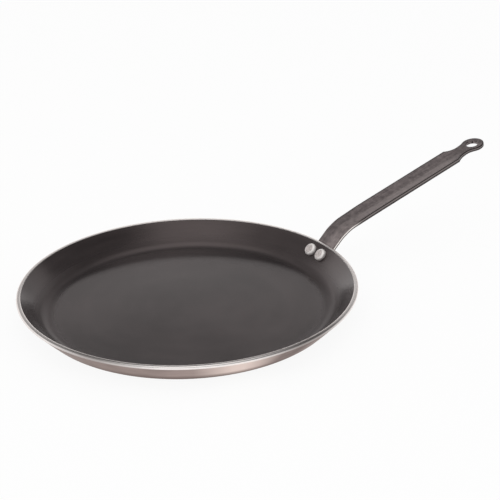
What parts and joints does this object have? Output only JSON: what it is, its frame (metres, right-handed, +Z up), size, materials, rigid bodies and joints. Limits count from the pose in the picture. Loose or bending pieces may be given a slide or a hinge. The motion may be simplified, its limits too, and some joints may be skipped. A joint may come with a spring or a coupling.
{
  "type": "crepe pan",
  "caption": "Shallow round pan with a flat base, low flared wall and bright turned rim, on a long riveted strip handle that ends in a hanging eye",
  "frame": {"origin": "middle of the base's underside, on the pan's axis", "axes": "+Z up along the pan's axis, +X from the pan's axis out along the handle, +Y to the handle's left"},
  "size_m": [0.4237, 0.26, 0.0739],
  "materials": {
    "pan_body": "dark matte coating inside, bare satin metal outside",
    "handle": "dark satin steel strip",
    "rivet": "matte silver"
  },
  "bodies": {
    "root": {"pan_body": "pan_body", "handle": "handle", "rivet_left": "rivet", "rivet_right": "rivet"}
  },
  "joints": []
}
